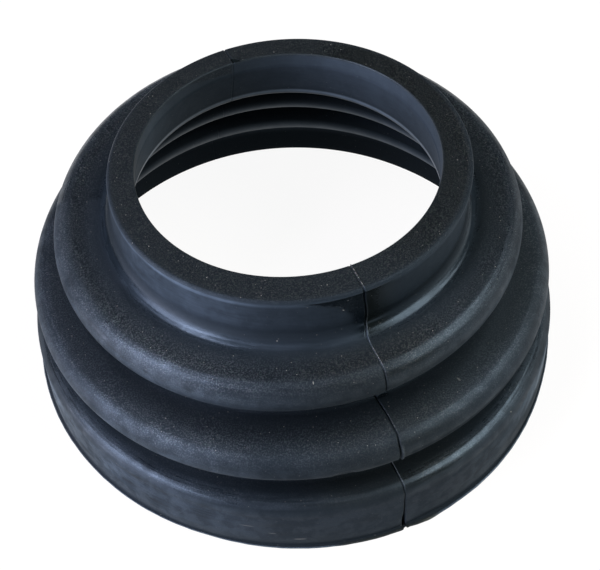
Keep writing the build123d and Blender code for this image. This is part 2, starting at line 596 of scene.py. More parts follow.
across_front = distance_from(front_parting, front_line)
across_rear = distance_from(rear_parting, rear_line)
parting = parting_relief(across_front, front_line) + parting_relief(across_rear, rear_line)
flap = band(across_front / MM, 0.10, 0.22, 0.50, 0.75) * band(place, 51.8, 53.2, 56.6, 57.2)
flap_rise = 0.08 + 0.18 * soft_step(place, 52, 56.5)
foot_crease = 0.22 * bell(place, 86.35, 0.28)
relief = parting + (flap * flap_rise - dips - foot_crease) * MM
points = smooth_points + smooth_normals * relief[..., None]
points[..., 2] = np.maximum(points[..., 2], 0.0)
print("relief from", round(relief.min() / MM, 2), "to", round(relief.max() / MM, 2), "mm")

# %% [markdown]
# The grid becomes a mesh of quads that closes on itself both ways. The finish
# values go with it as attributes, which the material reads.

# %% From a grid to a mesh
def closed_grid_quads(count_down, count_round):
    """Corner numbers of the quads of a grid that closes on itself both ways."""
    index = np.arange(count_down * count_round).reshape(count_down, count_round)
    below = np.roll(index, -1, axis=0)
    return np.stack([index, below, np.roll(below, -1, axis=1), np.roll(index, -1, axis=1)],
                    axis=-1).reshape(-1, 4)


def quad_mesh(name, vertices, quads):
    """Mesh from arrays of vertices and quad corners, smooth shaded."""
    mesh = bpy.data.meshes.new(name)
    mesh.vertices.add(len(vertices))
    mesh.vertices.foreach_set("co", vertices.reshape(-1))
    mesh.loops.add(quads.size)
    mesh.loops.foreach_set("vertex_index", quads.reshape(-1))
    mesh.polygons.add(len(quads))
    mesh.polygons.foreach_set("loop_start", np.arange(0, quads.size, 4))
    mesh.polygons.foreach_set("use_smooth", np.ones(len(quads), bool))
    mesh.update()
    mesh.validate()
    return mesh


def add_piece(name, mesh):
    """An object at the origin, linked to the scene."""
    piece = bpy.data.objects.new(name, mesh)
    bpy.context.scene.collection.objects.link(piece)
    return piece


def add_attribute(mesh, name, values):
    """One number per vertex, for the material to read."""
    attribute = mesh.attributes.new(name, "FLOAT", "POINT")
    attribute.data.foreach_set("value", values.astype(np.float32).reshape(-1))


boot_mesh = quad_mesh("boot", points.reshape(-1, 3), closed_grid_quads(*points.shape[:2]))
boot = add_piece("boot", boot_mesh)
print("triangles", 2 * len(boot_mesh.polygons))

# %% [markdown]
# ## Finish of each place
#
# Rubber never has the same finish all over. The mould was grained on its flat
# faces and smooth in its rolls and walls, and handling has rubbed a pale bloom
# into some of them. So a table gives four values at places along the outline: haze
# (how pale the colour is, partly real bloom and partly painted light), roughness,
# grain (how strongly the mould's fine grain shows) and patchiness (how much the pale
# colour comes in clouds). Where an edge or a roll catches the lamps, the haze is
# raised as painted highlight. In the crease at the fin's root and deep inside, it is
# taken to nothing as painted shade. A fifth value tells where the rubber has gone
# brown, at first on the end face alone.

# %% Finish along the outline
# millimetres along the outline, haze (bloom and painted light), roughness, grain, patchiness
finish_along = np.array([
    (0.0, 0.22, 0.7, 0, 0.3), (0.3, 0.02, 0.72, 0.4, 0.3), (0.6, 0.006, 0.73, 1, 0.3),
    (4.9, 0.006, 0.75, 1, 0.3), (5.5, 0.015, 0.6, 0.4, 0.3), (5.9, 0.12, 0.55, 0, 0.3),
    # 6.1 to 6.75 mm: painted highlight along the collar's rim
    (6.1, 0.34, 0.6, 0, 0.3), (6.4, 0.70, 0.6, 0, 0.3), (6.75, 0.48, 0.75, 0, 0.3),
    (7.1, 0.33, 0.85, 0, 0.4),
    (12.0, 0.31, 0.8, 0, 0.4), (13.5, 0.155, 0.66, 0, 0.3), (15.0, 0.04, 0.54, 0, 0.3),
    # 15.7 to 16.9 mm: painted highlight on the collar's root fillet
    (15.7, 0.14, 0.22, 0, 0.5), (16.3, 0.24, 0.2, 0, 0.6), (16.9, 0.17, 0.21, 0, 0.6),
    (17.8, 0.05, 0.3, 0.2, 0.3), (19.5, 0.06, 0.42, 0.6, 0.2), (22.5, 0.1, 0.39, 0.9, 0.2),
    (24.3, 0.16, 0.33, 0.6, 0.6), (25.6, 0.2, 0.32, 0.55, 0.9), (27.0, 0.16, 0.48, 0.3, 0.9),
    # 28.1 mm: painted highlight, the upper crest's second bright band
    (28.1, 0.26, 0.58, 0.2, 0.9), (29.2, 0.19, 0.72, 0.1, 0.8), (31.0, 0.24, 0.72, 0.1, 0.6),
    (42.0, 0.075, 0.5, 0.2, 0.3), (44.0, 0.03, 0.48, 0.5, 0.3), (47.0, 0.04, 0.5, 0.8, 0.3),
    (49.5, 0.16, 0.41, 0.6, 0.7), (51.0, 0.17, 0.43, 0.5, 0.9), (52.5, 0.14, 0.55, 0.3, 0.9),
    (53.8, 0.17, 0.62, 0.2, 0.9), (54.6, 0.25, 0.72, 0.1, 0.8), (56.5, 0.26, 0.76, 0.1, 0.6),
    # 71.0 to 72.4 mm and 74.7 mm: painted highlights on the skirt's shoulder
    (67.0, 0.08, 0.42, 0.3, 0.2), (69.6, 0.08, 0.36, 0.2, 0.2), (71.0, 0.21, 0.28, 0.25, 0.9),
    (72.4, 0.23, 0.27, 0.25, 0.9), (73.5, 0.08, 0.44, 0.1, 0.8), (74.7, 0.21, 0.66, 0.1, 1),
    (75.8, 0.29, 0.83, 0.1, 1), (83.0, 0.25, 0.76, 0.1, 1), (85.4, 0.155, 0.55, 0.2, 0.6),
    # 86.0 to 86.4 mm: painted shade in the crease at the fin's root; 86.6 to 87.3 mm: painted highlight on
    #                  the fin's top
    (86.0, 0.02, 0.8, 0.3, 0.3), (86.4, 0, 0.9, 0.3, 0), (86.6, 0.45, 0.6, 0.2, 0),
    # 91.5 to 98.0 mm: painted shade deep inside the skirt
    (87.3, 0.45, 0.7, 0.2, 0), (87.7, 0.02, 0.85, 0.3, 0), (91.5, 0, 1, 0.3, 0), (98.0, 0, 1, 0, 0),
    # painted highlights on the inner waists at 109.8 and 134.6 mm, painted shade deep between them at 112.3
    # and 137.5 to 140 mm
    (98.7, 0.14, 0.7, 0, 0.3), (104.0, 0.19, 0.9, 0, 0.5), (109.8, 0.28, 0.6, 0, 0.3),
    (111.2, 0.16, 0.7, 0, 0.3), (112.3, 0, 1, 0, 0), (120.0, 0.1, 0.86, 0, 0.5),
    (134.6, 0.3, 0.6, 0, 0.3), (136.4, 0.24, 0.7, 0, 0.3), (137.5, 0, 1, 0, 0), (140.0, 0, 1, 0, 0),
    (150.0, 0.05, 0.8, 0, 0.3), (161.0, 0.26, 0.6, 0, 0.3), (161.8, 0.2, 0.6, 0, 0.3),
    # 162.5 mm: painted highlight on the edge of the relief
    (162.5, 0.75, 0.4, 0, 0.2), (163.1, 0.08, 0.85, 0, 0.2), (164.0, 0.16, 0.85, 0, 0.2),
    (171.2, 0.21, 0.85, 0, 0.2), (171.6, 0.24, 0.7, 0, 0.2), (173.7, 0.24, 0.7, 0, 0.2),
    (174.0, 0.22, 0.7, 0.3, 0.2)])
bloom_and_painted_light, roughness, grain, patchy = (
    read_off(finish_along, along, column)[:, None] + np.zeros_like(azimuth) for column in (1, 2, 3, 4))
browned = 0.50 * (place < 5.2)
print("rows of the finish table", len(finish_along))

# %% [markdown]
# The finish varies round the boot too. The haze, partly real bloom and partly
# painted light, is thickest on the left, thin in front and middling on the right,
# and the skirt is painted brightest where it turns away at the far left and right. A
# table gives its share at four places of the outline, and between them each point
# takes a mix of the two nearest.

# %% Bloom and painted light round the outside
# angle, and the share of bloom and painted light on the collar's wall, the upper
# crest, the middle crest and the skirt
bloom_and_light_round = np.array([
    (-180, 0.18, 0.55, 0.80, 1.60), (-155, 0.18, 0.62, 0.76, 2.90), (-140, 0.85, 1.10, 1.05, 1.35),
    (-122, 1.28, 1.35, 1.30, 1.20), (-110, 1.10, 1.15, 1.15, 1.05), (-95, 0.48, 0.34, 0.42, 0.40),
    (-80, 0.40, 0.24, 0.32, 0.31), (-68, 0.30, 0.33, 0.36, 0.30), (-57, 0.22, 0.58, 0.45, 0.32),
    (-40, 0.34, 0.58, 0.62, 0.95), (-20, 0.50, 0.42, 0.70, 3.60), (0, 0.60, 0.60, 0.90, 2.80),
    (60, 0.80, 0.80, 0.80, 0.80), (140, 0.90, 0.90, 0.90, 0.90), (180, 0.18, 0.55, 0.80, 1.60)])
zone = np.interp(place, (15, 18, 36, 42, 74, 76), (0, 1, 1, 2, 2, 3))
bloom_and_light_share = sum(np.clip(1 - np.abs(zone - k), 0, 1) * read_off(bloom_and_light_round, degrees, k + 1)
            for k in range(4))
# partly real bloom and partly painted light: the haze takes its share round the boot
bloom_and_painted_light *= 1 + band(place, 5, 7, 88, 92) * (bloom_and_light_share - 1)
print("share of bloom", bloom_and_light_share.min().round(2), "to", bloom_and_light_share.max().round(2))

# %% [markdown]
# In the bore, the land and the edges below it are paler at some angles than at
# others, the land most of all behind on the right: partly bloom and partly painted
# light.
# Left of the rear parting line, as seen from in front, a wedge of the land was
# never touched, so it is dark and grained.

# %% Bloom and painted light in the bore
# angle, and the share of bloom and painted light on the bore's land and on the
# edges below it
bore_bloom_and_light_round = np.array([
    (-180, 0.3, 0.5), (-8, 0.75, 0.85), (22, 1.05, 0.95), (38, 1.2, 1.5), (52, 1.5, 1.8), (68, 1.5, 0.9),
    (82, 1.2, 0.7), (98, 0.9, 0.3), (112, 0.6, 0.1), (128, 0.5, 0.1), (142, 0.7, 0.4), (158, 1.3, 0.4),
    (180, 0.3, 0.5)])


def blend(value, target, share):
    """Moves value towards target by a share of the way."""
    return value + (target - value) * share


land_bloom_and_light, edge_bloom_and_light = (read_off(bore_bloom_and_light_round, degrees, column) for column in (1, 2))
bore_bloom_and_light = blend(edge_bloom_and_light, land_bloom_and_light, soft_step(place, 161, 162))
# partly painted light: the paleness inside the bore changes with the angle
bloom_and_painted_light *= 1 + soft_step(place, 90, 92) * (bore_bloom_and_light - 1)

wedge_begin = np.interp(degrees, (112.5, 125, 134), (171.3, 172.3, 174.0))
wedge = soft_step(place, wedge_begin, wedge_begin + 0.4) * band(degrees, 112.4, 112.6, 132, 136)
bloom_and_painted_light = blend(bloom_and_painted_light, 0.08, wedge)
grain = np.maximum(grain, 0.5 * wedge)
browned = np.maximum(browned, 0.1 * wedge)
print("haze on the land", bloom_and_painted_light[along > 163].min().round(2), "to", bloom_and_painted_light[along > 163].max().round(2))

# %% [markdown]
# The foot takes the wear. The fin's top edge is painted pale, a painted highlight,
# and it is polished on the right. By the front parting line, where the flash is torn,
# it is dark and brown. On the right and behind, the skirt is darker just above the fin.

# %% Foot and fin
# angle, and the painted highlight of the fin's edge
fin_edge_highlight = np.array([
    (-180, 0.75), (-84, 0.55), (-82, 0.13), (-66, 0.13), (-64, 0.5), (-57, 0.6), (-50, 1.0), (0, 1.0),
    (60, 0.4), (180, 0.6)])
# painted highlight along the fin's top edge
on_fin = band(place, 86.3, 86.5, 87.4, 87.8)
bloom_and_painted_light = blend(bloom_and_painted_light, read_off(fin_edge_highlight, degrees, 1), on_fin)
roughness = blend(roughness, 0.22, on_fin * band(degrees, -56, -48, -14, 0))
above_fin = band(place, 79.5, 82.5, 85.8, 86.3)
bloom_and_painted_light *= 1 - 0.9 * above_fin * soft_step(degrees, -52, -36)
roughness += 0.2 * above_fin * soft_step(degrees, -42, -28)
torn_stretch = band(degrees, -84, -80, -64, -60)
bloom_and_painted_light *= 1 - 0.8 * torn_stretch * band(place, 84.9, 85.3, 85.9, 86.2)
browned = np.maximum(browned, torn_stretch * band(place, 85.9, 86.2, 88, 89))
print("haze of the fin", fin_edge_highlight[:, 1].min(), "to", fin_edge_highlight[:, 1].max())

# %% [markdown]
# The rolls turn away at the boot's two sides, and each draws a bright line there.
# At the far left and right these lines are dull. On the right the colour is painted
# paler under the upper crest and on the skirt's shoulder, painted highlight, and
# darker on the lower shelf between, painted shade. On the left the collar's rim is
# painted paler, a painted highlight. A bell curve of power 4 has a flat top, so it
# works as a mask that runs all the way round.

# %% Rolls at the sides
# painted highlight on the collar's rim at the left
bloom_and_painted_light *= 1 + 0.7 * band(degrees, -142, -130, -108, -98) * bell(place, 6.35, 0.45, 4)
right_rolls = band(degrees, -52, -30, 0, 30)
# painted highlight under the upper crest, and painted shade on the lower shelf, at the right
bloom_and_painted_light *= 1 + 0.5 * right_rolls * bell(place, 30, 2.0, 4)
bloom_and_painted_light *= 1 - 0.5 * right_rolls * bell(place, 69, 2.5, 4)
# painted highlight on the skirt's shoulder at the right
right_shoulder = band(degrees, -67, -62, -38, -26) * bell(place, 72.1, 1.3)
bloom_and_painted_light += 0.25 * right_shoulder
roughness -= 0.05 * right_shoulder
roughness -= 0.14 * band(degrees, -36, -26, -8, 10) * bell(place, 78.5, 3.2, 4)
far_left = 1 - soft_step(degrees, -150, -138)
roughness += 0.22 * far_left * (bell(place, 18.5, 1.6, 4) + bell(place, 25.0, 1.8, 4))
both_sides = 1 - soft_step(degrees, -154, -138) + band(degrees, -34, -20, 30, 60)
crests = sum(bell(place, middle, reach, 4) for middle, reach in ((5.9, 0.8), (28.0, 2.5), (74.4, 1.6)))
roughness += 0.22 * both_sides * crests
print("roughness at the sides up to", roughness.max().round(2))

# %% [markdown]
# In front, right of the parting line, the middle crest's underside is in its own
# shade. There its colour is taken down to the black rubber, painted shade, and it is
# too rough to mirror the white floor. Left of the line the rolls are duller than
# elsewhere. Round the line they have gone brown, and so has the dusty skirt at the
# far left. The skirt's bloom is calmer in front.

# %% Rolls in front
right_side = band(degrees, -68, -60, 20, 40)
# painted shade under the middle crest: its pale colour goes, fully by the parting line and mostly further
# right
bloom_and_painted_light *= 1 - 0.8 * right_side * band(place, 55.0, 55.9, 57, 59)
shaded = band(degrees, -68, -66, -38, -26) * band(place, 54.2, 55.1, 57, 59)
bloom_and_painted_light *= 1 - shaded
roughness = blend(roughness, 1.0, shaded)
dull_front = band(degrees, -106, -92, -69.5, -67)
rolls = sum(bell(place, middle, reach, 4) for middle, reach in
            ((16.5, 2.5), (26.5, 3.0), (51.5, 4.0), (72.5, 2.5)))
roughness += 0.20 * dull_front * rolls
brown_rolls = band(place, 17, 20, 73, 76) * (1 - bell(place, 42, 4, 4))
browned += 0.45 * brown_rolls * band(degrees, -94, -76, -62, -45)
browned += 0.30 * (1 - soft_step(degrees, -145, -125)) * band(place, 70, 73, 88, 92)
patchy *= 1 - 0.3 * band(degrees, -125, -105, 15, 35) * soft_step(place, 73, 75)
print("brown up to", browned.max().round(2))

# %% [markdown]
# The end face is smoother on the right, and so is the collar's wall, whose bloom is
# more clouded at the far left. By the front parting line the wall is darker and
# glossier, and brown next to the line, in a wide wedge at the rim that narrows to a
# strip at the root.

# %% End face, collar wall and dark wedge
on_face = 1 - soft_step(place, 4.6, 5.2)
roughness -= 0.15 * on_face * (1 + band(degrees, -66, -40, 66, 84))
on_wall = band(place, 6.0, 6.8, 13.5, 15.2)
roughness -= 0.22 * on_wall * right_side
patchy += 0.25 * on_wall * (1 - soft_step(degrees, -140, -125))

dark_wedge_edge = np.interp(place, (6.2, 6.7, 8.5, 10.9, 13.4, 15.5, 18.5),
                       (-87.0, -83.0, -76.2, -72.8, -71.2, -70.0, -69.0))
dark_wedge = band(place, 5.9, 6.4, 15.5, 18.5) * band(degrees, dark_wedge_edge - 2.2, dark_wedge_edge + 1.4, -67, -56)
bloom_and_painted_light *= 1 - 0.9 * dark_wedge
roughness = blend(roughness, 0.22, dark_wedge)
browned += 0.8 * dark_wedge * soft_step(degrees, -69, -67)
print("share of the surface stained", dark_wedge.mean().round(4))

# %% [markdown]
# The fine lines come last, because they lie over all the rest. Gaps, grooves and
# notches are painted black, with no bloom and no grain: painted shade where the real
# ones are deep. The two slits are also smooth, so that they mirror only the dark
# above. The ridges and the flap stand out and are painted pale, a painted highlight.

# %% Gaps and ridges
# painted shade in the parting lines' grooves, the slits and the foot's notch
groove_shade = np.clip(-parting / (0.25 * MM) - 0.2, 0, 1)
slits = np.clip(crest_gap + 3 * bore_notch + notch_line, 0, 1)
painted_gap_shade = np.clip(slits + foot_notch + groove_shade, 0, 1)
bloom_and_painted_light *= 1 - painted_gap_shade
grain *= 1 - painted_gap_shade
roughness = blend(roughness, 0.6, painted_gap_shade)
roughness = blend(roughness, 0.14, slits)
# painted highlights on the ridges and the flap
bloom_and_painted_light = np.maximum(bloom_and_painted_light, 0.8 * ridge_highlight(across_front, front_line))
bloom_and_painted_light = np.maximum(bloom_and_painted_light, 0.5 * ridge_highlight(across_rear, rear_line))
bloom_and_painted_light = np.maximum(bloom_and_painted_light, 0.30 * flap)

finishes = {"bloom_and_painted_light": bloom_and_painted_light, "roughness": np.maximum(roughness, 0.05), "grain": grain,
            "browned": browned, "patchy": patchy}
for name, values in finishes.items():
    add_attribute(boot_mesh, name, np.clip(values, 0, 1))
    print(name, "from", values.min().round(2), "to", values.max().round(2))

# %% [markdown]
# ## Building materials
#
# A material is a tree of nodes. Small helpers keep the trees readable: one adds a
# node and fills or links its sockets, and the others use it for a sum, a ramp, a mix
# or a group. A shader group is a tree of its own with named sockets, so an effect is
# built once and each place that uses it gives it its own values.

# %% Helpers for node trees
def add_node(tree, kind, settings, inputs):
    """One node. settings are its properties. inputs are its sockets, each given a
    value or linked to another node's output."""
    node = tree.nodes.new(kind)
    for name, value in settings.items():
        setattr(node, name, value)
    for name, value in inputs.items():
        if isinstance(value, bpy.types.NodeSocket):
            tree.links.new(value, node.inputs[name])
        else:
            node.inputs[name].default_value = value
    return node


def calculate(tree, operation, *values):
    """The output of a Math node, which does one sum on its values."""
    return add_node(tree, "ShaderNodeMath", {"operation": operation},
                    dict(enumerate(values))).outputs[0]


def ramp_of(tree, value, begin, end, low=0.0, high=1.0):
    """A smooth rise from low at begin to high at end."""
    node = add_node(tree, "ShaderNodeMapRange", {"interpolation_type": "SMOOTHSTEP"},
                    {"Value": value, "From Min": begin, "From Max": end,
                     "To Min": low, "To Max": high})
    return node.outputs[0]


def mix_of(tree, factor, first, second, mode="MIX"):
    """A mix of two colours."""
    node = add_node(tree, "ShaderNodeMix", {"data_type": "RGBA", "blend_type": mode},
                    {0: factor, 6: first, 7: second})
    return node.outputs[2]


def new_group(name, inputs, outputs):
    """An empty shader group whose sockets are numbers, with its two end nodes."""
    tree = bpy.data.node_groups.new(name, "ShaderNodeTree")
    for socket, value in inputs.items():
        made = tree.interface.new_socket(socket, in_out="INPUT", socket_type="NodeSocketFloat")
        made.default_value = value
    for socket in outputs:
        tree.interface.new_socket(socket, in_out="OUTPUT", socket_type="NodeSocketFloat")
    return tree, tree.nodes.new("NodeGroupInput").outputs, tree.nodes.new("NodeGroupOutput").inputs


def object_place(tree):
    """Object coordinates, in metres."""
    return tree.nodes.new("ShaderNodeTexCoord").outputs["Object"]


def use_group(tree, group, inputs):
    """Places a group in a material with its own values."""
    return add_node(tree, "ShaderNodeGroup", {"node_tree": group}, inputs).outputs


# %% [markdown]
# Grained rubber looks like fine black sandpaper: dark pits with paler, slightly
# brown tips. The group gives a fine pattern for the tips' colour and a height for
# their bump, both from noise whose size is set in millimetres.

# %% Mould grain group
grain_group, given, result = new_group("mould_grain", {"Size": 0.4}, ("Speckle", "Tint", "Height"))
per_metre = calculate(grain_group, "DIVIDE", 1000.0, given["Size"])
fine = add_node(grain_group, "ShaderNodeTexNoise", {},
                {"Vector": object_place(grain_group), "Scale": per_metre,
                 "Detail": 2.0, "Roughness": 0.65})
tinted = add_node(grain_group, "ShaderNodeSeparateColor", {},
                  {"Color": fine.outputs["Color"]}).outputs["Blue"]
grain_group.links.new(ramp_of(grain_group, fine.outputs["Fac"], 0.44, 0.68), result["Speckle"])
grain_group.links.new(ramp_of(grain_group, tinted, 0.35, 0.65), result["Tint"])
grain_group.links.new(fine.outputs["Fac"], result["Height"])
print(grain_group.name, "has", len(grain_group.nodes), "nodes")

# %% [markdown]
# Dust is a thin scatter of pale specks. A Voronoi texture puts one point in each
# cell of space. Where the surface passes near such a point there is a speck, and
# the cell's random colour leaves most cells empty and makes the rest uneven.

# %% Dust group
dust_group, given, result = new_group("dust_specks", {"Spacing": 1.0, "Size": 0.15, "Amount": 0.3},
                                      ("Mask",))
cells = add_node(dust_group, "ShaderNodeTexVoronoi", {},
                 {"Vector": object_place(dust_group),
                  "Scale": calculate(dust_group, "DIVIDE", 1000.0, given["Spacing"])})
chance = add_node(dust_group, "ShaderNodeSeparateColor", {}, {"Color": cells.outputs["Color"]}).outputs
radius = calculate(dust_group, "DIVIDE", given["Size"], given["Spacing"])
nearness = calculate(dust_group, "DIVIDE", cells.outputs["Distance"], radius)
speck = ramp_of(dust_group, nearness, 1.0, 0.5)
chosen = calculate(dust_group, "LESS_THAN", chance["Red"], given["Amount"])
uneven = calculate(dust_group, "MULTIPLY", chosen, calculate(dust_group, "POWER", chance["Green"], 1.5))
dust_group.links.new(calculate(dust_group, "MULTIPLY", speck, uneven), result["Mask"])
print(dust_group.name, "has", len(dust_group.nodes), "nodes")

# %% [markdown]
# Everything that touched the boot rubbed it round its axis, as did the turning of
# the mould's own cutter. So rub marks are long round the ring and short across it.
# The noise reads four numbers: the cosine and sine of the angle, the radius and the
# height. The first two have a low scale and the others a high one, which stretches
# the noise round the ring with no seam.

# %% Rub mark group
rub_group, given, result = new_group("rub_marks", {"Length": 6.0, "Width": 0.5}, ("Streak",))
place_parts = add_node(rub_group, "ShaderNodeSeparateXYZ", {}, {0: object_place(rub_group)}).outputs
flat = add_node(rub_group, "ShaderNodeCombineXYZ", {}, {0: place_parts["X"], 1: place_parts["Y"]}).outputs[0]
turned = add_node(rub_group, "ShaderNodeVectorMath", {"operation": "NORMALIZE"}, {0: flat}).outputs[0]
from_axis = add_node(rub_group, "ShaderNodeVectorMath", {"operation": "LENGTH"}, {0: flat}).outputs["Value"]
turned_parts = add_node(rub_group, "ShaderNodeSeparateXYZ", {}, {0: turned}).outputs
round_scale = calculate(rub_group, "DIVIDE", 50.0, given["Length"])
across_scale = calculate(rub_group, "DIVIDE", 1000.0, given["Width"])
stretched = add_node(rub_group, "ShaderNodeCombineXYZ", {},
                     {0: calculate(rub_group, "MULTIPLY", turned_parts["X"], round_scale),
                      1: calculate(rub_group, "MULTIPLY", turned_parts["Y"], round_scale),
                      2: calculate(rub_group, "MULTIPLY", from_axis, across_scale)}).outputs[0]
streaks = add_node(rub_group, "ShaderNodeTexNoise", {"noise_dimensions": "4D"},
                   {"Vector": stretched,
                    "W": calculate(rub_group, "MULTIPLY", place_parts["Z"], across_scale),
                    "Scale": 1.0, "Detail": 3.0, "Roughness": 0.6}).outputs["Fac"]
rub_group.links.new(ramp_of(rub_group, streaks, 0.3, 0.7), result["Streak"])
print(rub_group.name, "has", len(rub_group.nodes), "nodes")

# %% [markdown]
# Bloom, a pale film that old rubber sweats out, lies in soft clouds a few
# millimetres across.

# %% Bloom cloud group
cloud_group, given, result = new_group("bloom_clouds", {"Size": 4.0}, ("Cloud",))
soft = add_node(cloud_group, "ShaderNodeTexNoise", {},
                {"Vector": object_place(cloud_group),
                 "Scale": calculate(cloud_group, "DIVIDE", 1000.0, given["Size"]),
                 "Detail": 2.5, "Roughness": 0.55, "Distortion": 0.4}).outputs["Fac"]
cloud_group.links.new(ramp_of(cloud_group, soft, 0.32, 0.68), result["Cloud"])
print(cloud_group.name, "has", len(cloud_group.nodes), "nodes")

# %% [markdown]
# ## The rubber
#
# Black rubber is nearly black everywhere, and most of what is seen is its sheen.
# The material starts from the finish values of the mesh and from the groups above,
# each placed with its own sizes. Grain and clouds are used at two sizes, because a
# single one looks like a pattern.

# %% Rubber material
rubber = bpy.data.materials.new("rubber")
rubber.use_nodes = True
tree = rubber.node_tree
shader = tree.nodes["Principled BSDF"]
boot_mesh.materials.append(rubber)


def finish(tree, attribute):
    """A finish value of the boot's mesh at the point that is shaded."""
    return add_node(tree, "ShaderNodeAttribute", {"attribute_name": attribute}, {}).outputs["Fac"]


grained = finish(tree, "grain")
patchy_here = finish(tree, "patchy")
grain_fine = use_group(tree, grain_group, {"Size": 0.28})
grain_coarse = use_group(tree, grain_group, {"Size": 0.6})
rubbed = use_group(tree, rub_group, {"Length": 7.0, "Width": 0.5})["Streak"]
scratched = use_group(tree, rub_group, {"Length": 2.5, "Width": 0.22})["Streak"]
cloud_small = use_group(tree, cloud_group, {"Size": 3.0})["Cloud"]
cloud_large = use_group(tree, cloud_group, {"Size": 11.0})["Cloud"]
dust = use_group(tree, dust_group, {"Spacing": 0.9, "Size": 0.11, "Amount": 0.5})["Mask"]
print("groups in use", sum(node.type == "GROUP" for node in tree.nodes))

# %% [markdown]
# Few faults are sharp enough to be seen one by one. Ten scuffs are listed, where a
# thumb nail or a tool slipped. Each is a ball squashed to its length, width and
# depth, which leaves a soft spot where it meets the surface.

# %% Listed scuffs
# angle, millimetres along the outline, half length round the boot, half width in
# millimetres, and strength
scuffs = [
    (-100.0, 79.1, 1.8, 0.15, 0.4), (-95.1, 81.9, 1.0, 0.12, 0.5), (-89.8, 83.4, 1.6, 0.14, 0.9),
    (-49.7, 47.0, 0.25, 0.10, 0.25), (-74.9, 9.1, 0.26, 0.18, 0.8), (-73.8, 7.2, 0.16, 0.12, 0.5),
    (-85.5, 6.9, 0.18, 0.12, 0.4), (-93.4, 15.4, 0.15, 0.12, 0.5),
    (-84.7, 24.4, 0.14, 0.12, 0.5), (-39.9, 73.4, 0.18, 0.14, 0.8),
]
scuff_depth = 0.6 * MM


def on_boot(angle_degrees, millimetres):
    """The point of the boot at that angle and that length along the outline."""
    column = int(np.argmin(np.abs(turn_between(angles, math.radians(angle_degrees)))))
    row = int(np.argmin(np.abs(along - millimetres)))
    near = smooth_points[row, column]
    turn_left = math.radians(angle_degrees) - azimuth[row, column]
    cosine, sine = math.cos(turn_left), math.sin(turn_left)
    return Vector((near[0] * cosine - near[1] * sine, near[0] * sine + near[1] * cosine, near[2]))


def scuff_mask(tree):
    """The largest of one soft spot per scuff. A Mapping node puts the scuff at the
    origin, turns it and makes it a unit ball, and the spot fades with distance."""
    mask = 0.0
    for angle, length, half_round, half_width, strength in scuffs:
        spot = add_node(tree, "ShaderNodeMapping", {"vector_type": "TEXTURE"},
                        {"Vector": object_place(tree), "Location": on_boot(angle, length),
                         "Rotation": (0, 0, math.radians(angle)),
                         "Scale": (scuff_depth, half_round * MM, half_width * MM)}).outputs[0]
        far = add_node(tree, "ShaderNodeVectorMath", {"operation": "LENGTH"}, {0: spot}).outputs["Value"]
        mask = calculate(tree, "MAXIMUM", ramp_of(tree, far, 1.0, 0.5, 0.0, strength), mask)
    return mask


dust = calculate(tree, "MULTIPLY", dust, ramp_of(tree, grained, 0, 0.8, 0.35, 1.0))
marks = calculate(tree, "MAXIMUM", dust, scuff_mask(tree))
print("scuffs", len(scuffs))

# %% [markdown]
# The colour is black mixed with a pale blue-grey, as the haze says: real bloom in
# some places and painted light in others, painted highlight where the haze is raised
# and painted shade where it is taken away. The clouds and the rub marks make the
# haze uneven. On grained faces the colour is multiplied by the grain's tips, dark
# between them and reddish or greenish on them. Brown places are tinted, and dust and
# scuffs lie on top.

# %% Colour of the rubber
black_rubber = (0.0036, 0.0064, 0.0092, 1)
# the bloom's pale blue-grey, also the colour of the painted highlights
pale_bloom_and_light = (0.087, 0.131, 0.184, 1)
dust_grey = (0.26, 0.28, 0.27, 1)
green_tips, red_tips = (1.15, 1.10, 0.75, 1), (1.50, 1.0, 0.92, 1)
tip_strength = 2.75
brown_tint = (1.25, 1.0, 0.62, 1)
no_tint = (1, 1, 1, 1)

clouds = calculate(tree, "ADD", ramp_of(tree, cloud_small, 0, 1, -0.30, 0.30),
                   ramp_of(tree, cloud_large, 0, 1, -0.30, 0.30))
clouds = calculate(tree, "ADD", clouds, ramp_of(tree, rubbed, 0, 1, -0.35, 0.35))
clouds = calculate(tree, "MULTIPLY", clouds, patchy_here)
bloom_and_light_amount = calculate(tree, "MULTIPLY", finish(tree, "bloom_and_painted_light"), calculate(tree, "ADD", clouds, 1.0))
bloom_and_light_colour = mix_of(tree, bloom_and_light_amount, black_rubber, pale_bloom_and_light)
tip_tint = mix_of(tree, grain_fine["Tint"], green_tips, red_tips)
tips = calculate(tree, "MULTIPLY", grain_fine["Speckle"], tip_strength)
tips = mix_of(tree, grained, no_tint, mix_of(tree, 1.0, tips, tip_tint, "MULTIPLY"))
speckled = mix_of(tree, 1.0, bloom_and_light_colour, tips, "MULTIPLY")
brown = mix_of(tree, finish(tree, "browned"), no_tint, brown_tint)
speckled = mix_of(tree, 1.0, speckled, brown, "MULTIPLY")
tree.links.new(mix_of(tree, marks, speckled, dust_grey), shader.inputs["Base Color"])
print("colour nodes", len(tree.nodes))

# %% [markdown]
# The sheen's brightness is one constant with a blue tint, and its sharpness is the
# roughness value, varied a little by rub marks, clouds and grain. Dust is dull.

# %% Sheen of the rubber
shader.inputs["Specular IOR Level"].default_value = 0.37
shader.inputs["Specular Tint"].default_value = (0.53, 0.755, 1.0, 1)
dust_dulling = 0.4

unevenness = calculate(tree, "ADD", ramp_of(tree, rubbed, 0, 1, -0.06, 0.06),
                       ramp_of(tree, cloud_small, 0, 1, 0.06, -0.06))
unevenness = calculate(tree, "MULTIPLY", unevenness, patchy_here)
unevenness = calculate(tree, "ADD", unevenness, ramp_of(tree, grain_coarse["Speckle"], 0, 1, -0.02, 0.02))
rough = calculate(tree, "ADD", finish(tree, "roughness"), unevenness)
rough = calculate(tree, "ADD", rough, calculate(tree, "MULTIPLY", marks, dust_dulling))
tree.links.new(rough, shader.inputs["Roughness"])
print("sheen", shader.inputs["Specular IOR Level"].default_value)

